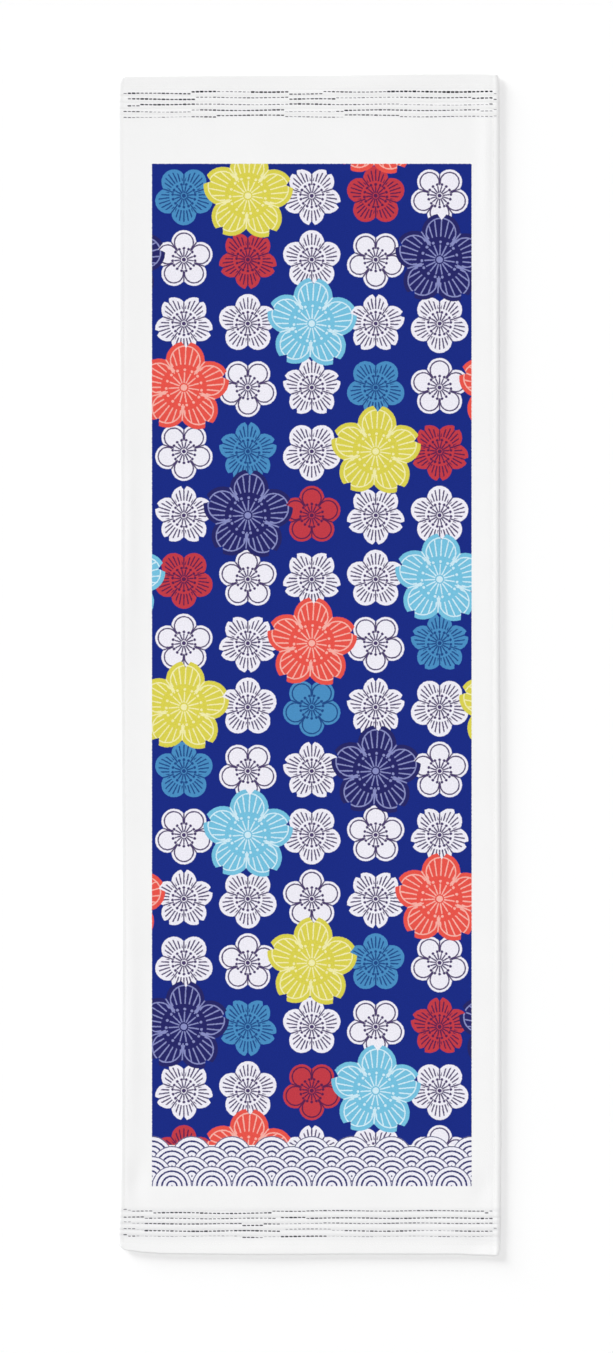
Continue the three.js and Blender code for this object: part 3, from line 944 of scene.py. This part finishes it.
print("towel: heading threads and stitches")
beads = beadTree()
headingThreads = yarnBeads("headingThreads", headingSpots(), headingYarn,
                           yarnMaterial("greyHeadingYarn", headingYarn))
hemStitches = yarnBeads("hemStitches", stitchSpots(), hemStitch,
                        yarnMaterial("whiteSewingCotton", hemStitch))


# Camera, light and floor

view = {
    "lens": 150,
    "sensor": 36,
    "frameHeight": 1353 * 0.934,    # the frame's long side at the cloth: pixels, and millimetres to each
    "across": -1.4,                 # the frame's middle, from the towel's
    "along": -10.5,
    "clipEnd": 50,                  # metres
}
print("towel: camera, light and floor")
camera = bpy.data.objects.new("camera", bpy.data.cameras.new("camera"))
camera.data.lens = view["lens"]
camera.data.sensor_width = view["sensor"]
camera.data.clip_end = view["clipEnd"]
distance = view["frameHeight"] * mm * view["lens"] / view["sensor"]
camera.location = ((view["across"] - planShift[0]) * mm, (view["along"] - planShift[1]) * mm, distance)
scene.collection.objects.link(camera)
scene.camera = camera

studio = {
    "floorSize": 40,           # metres
    "floorDrop": 1,            # below the cloth, so that floor and underside don't fight for the same place
    "floorColour": "#ffffff",
    "floorFinish": {"Roughness": 0.9, "Specular IOR Level": 0.1},
    "skyStrength": 0.36,
    "overheadStrength": 1.22,
    "overheadSpread": 60,      # degrees
    "keyStrength": 4.39,
    "keySpread": 28,
    "keyHeight": 9.5,          # degrees above the floor
    "keyFrom": 139,            # degrees from the towel's right, anticlockwise
    "fillStrength": 0.42,      # from the far side, as low and as wide
}
floorMesh = bpy.data.meshes.new("studioFloor")
side, drop = studio["floorSize"] / 2, studio["floorDrop"] * mm
corners = [(-side, -side, -drop), (side, -side, -drop), (side, side, -drop), (-side, side, -drop)]
floorMesh.from_pydata(corners, [], [(0, 1, 2, 3)])
floor = bpy.data.objects.new("studioFloor", floorMesh)
scene.collection.objects.link(floor)
# seamless background paper, uncoated: it spreads the light evenly and has hardly any shine
floorMaterial, floorShader = newMaterial("paleStudioPaper", studio["floorFinish"])
floorShader.inputs["Base Color"].default_value = linear(studio["floorColour"])
floorMesh.materials.append(floorMaterial)

world = bpy.data.worlds.new("studioSky")
world.use_nodes = True
world.node_tree.nodes["Background"].inputs["Color"].default_value = (1, 1, 1, 1)
world.node_tree.nodes["Background"].inputs["Strength"].default_value = studio["skyStrength"]
scene.world = world


def addSun(name, strength, spread, height, turn):
    sun = bpy.data.objects.new(name, bpy.data.lights.new(name, "SUN"))
    sun.data.energy = strength
    sun.data.angle = math.radians(spread)
    sun.rotation_euler = (0, math.radians(90 - height), math.radians(turn))
    scene.collection.objects.link(sun)


addSun("overheadSoftbox", studio["overheadStrength"], studio["overheadSpread"], 90, 0)
for name, strength, turn in (("keySoftbox", studio["keyStrength"], studio["keyFrom"]),
                             ("fillSoftbox", studio["fillStrength"], studio["keyFrom"] - 180)):
    addSun(name, strength, studio["keySpread"], studio["keyHeight"], turn)
scene.view_settings.view_transform = "Standard"

for piece in (cloth, headingThreads, hemStitches):
    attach(piece, mainBody)
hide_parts(clothNode)

print("towel: done,", sum(len(p.vertices) - 2 for p in cloth.data.polygons), "triangles")
